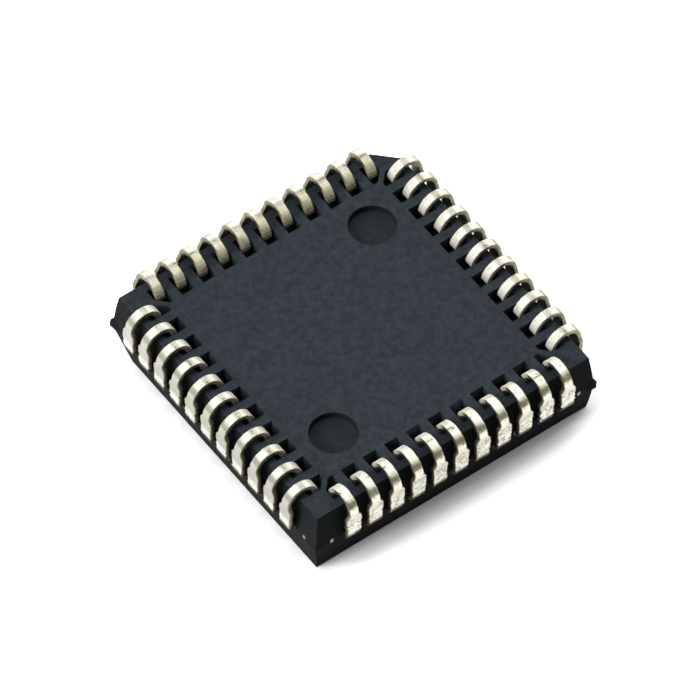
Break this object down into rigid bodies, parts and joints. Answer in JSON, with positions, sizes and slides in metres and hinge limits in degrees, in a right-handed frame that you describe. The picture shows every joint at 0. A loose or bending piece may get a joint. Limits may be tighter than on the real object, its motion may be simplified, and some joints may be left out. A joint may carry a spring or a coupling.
{
  "type": "microcontroller chip",
  "caption": "Square moulded chip carrier with J-shaped leads curled under its belly on every side, an index chamfer and a bevelled lead 1 side.",
  "frame": {"origin": "centre of the top face, on the surface that the carrier lies on", "axes": "+Z out of the belly, towards the circuit board; +Y towards the side with lead 1 in its middle, which has the bevel; the index chamfer is between +X and +Y"},
  "size_m": [0.0174, 0.0174, 0.0045],
  "materials": {
    "moulded_epoxy": "fine spark-eroded grain, dull dark blue-grey",
    "tin_plate": "satin electroplated tin over a copper alloy, with forming marks",
    "frame_copper": "bare copper alloy, cut ends dull",
    "attach_film": "silver-filled adhesive",
    "silicon": "polished silicon",
    "bond_gold": "drawn gold wire"
  },
  "bodies": {
    "root": {"package_body": "moulded_epoxy", "lead_01": "tin_plate", "lead_02": "tin_plate", "lead_03": "tin_plate", "lead_04": "tin_plate", "lead_05": "tin_plate", "lead_06": "tin_plate", "lead_07": "tin_plate", "lead_08": "tin_plate", "lead_09": "tin_plate", "lead_10": "tin_plate", "lead_11": "tin_plate", "lead_12": "tin_plate", "lead_13": "tin_plate", "lead_14": "tin_plate", "lead_15": "tin_plate", "lead_16": "tin_plate", "lead_17": "tin_plate", "lead_18": "tin_plate", "lead_19": "tin_plate", "lead_20": "tin_plate", "lead_21": "tin_plate", "lead_22": "tin_plate", "lead_23": "tin_plate", "lead_24": "tin_plate", "lead_25": "tin_plate", "lead_26": "tin_plate", "lead_27": "tin_plate", "lead_28": "tin_plate", "lead_29": "tin_plate", "lead_30": "tin_plate", "lead_31": "tin_plate", "lead_32": "tin_plate", "lead_33": "tin_plate", "lead_34": "tin_plate", "lead_35": "tin_plate", "lead_36": "tin_plate", "lead_37": "tin_plate", "lead_38": "tin_plate", "lead_39": "tin_plate", "lead_40": "tin_plate", "lead_41": "tin_plate", "lead_42": "tin_plate", "lead_43": "tin_plate", "lead_44": "tin_plate", "die_paddle": "frame_copper", "die_attach": "attach_film", "silicon_die": "silicon", "bond_wires": "bond_gold"}
  },
  "joints": []
}
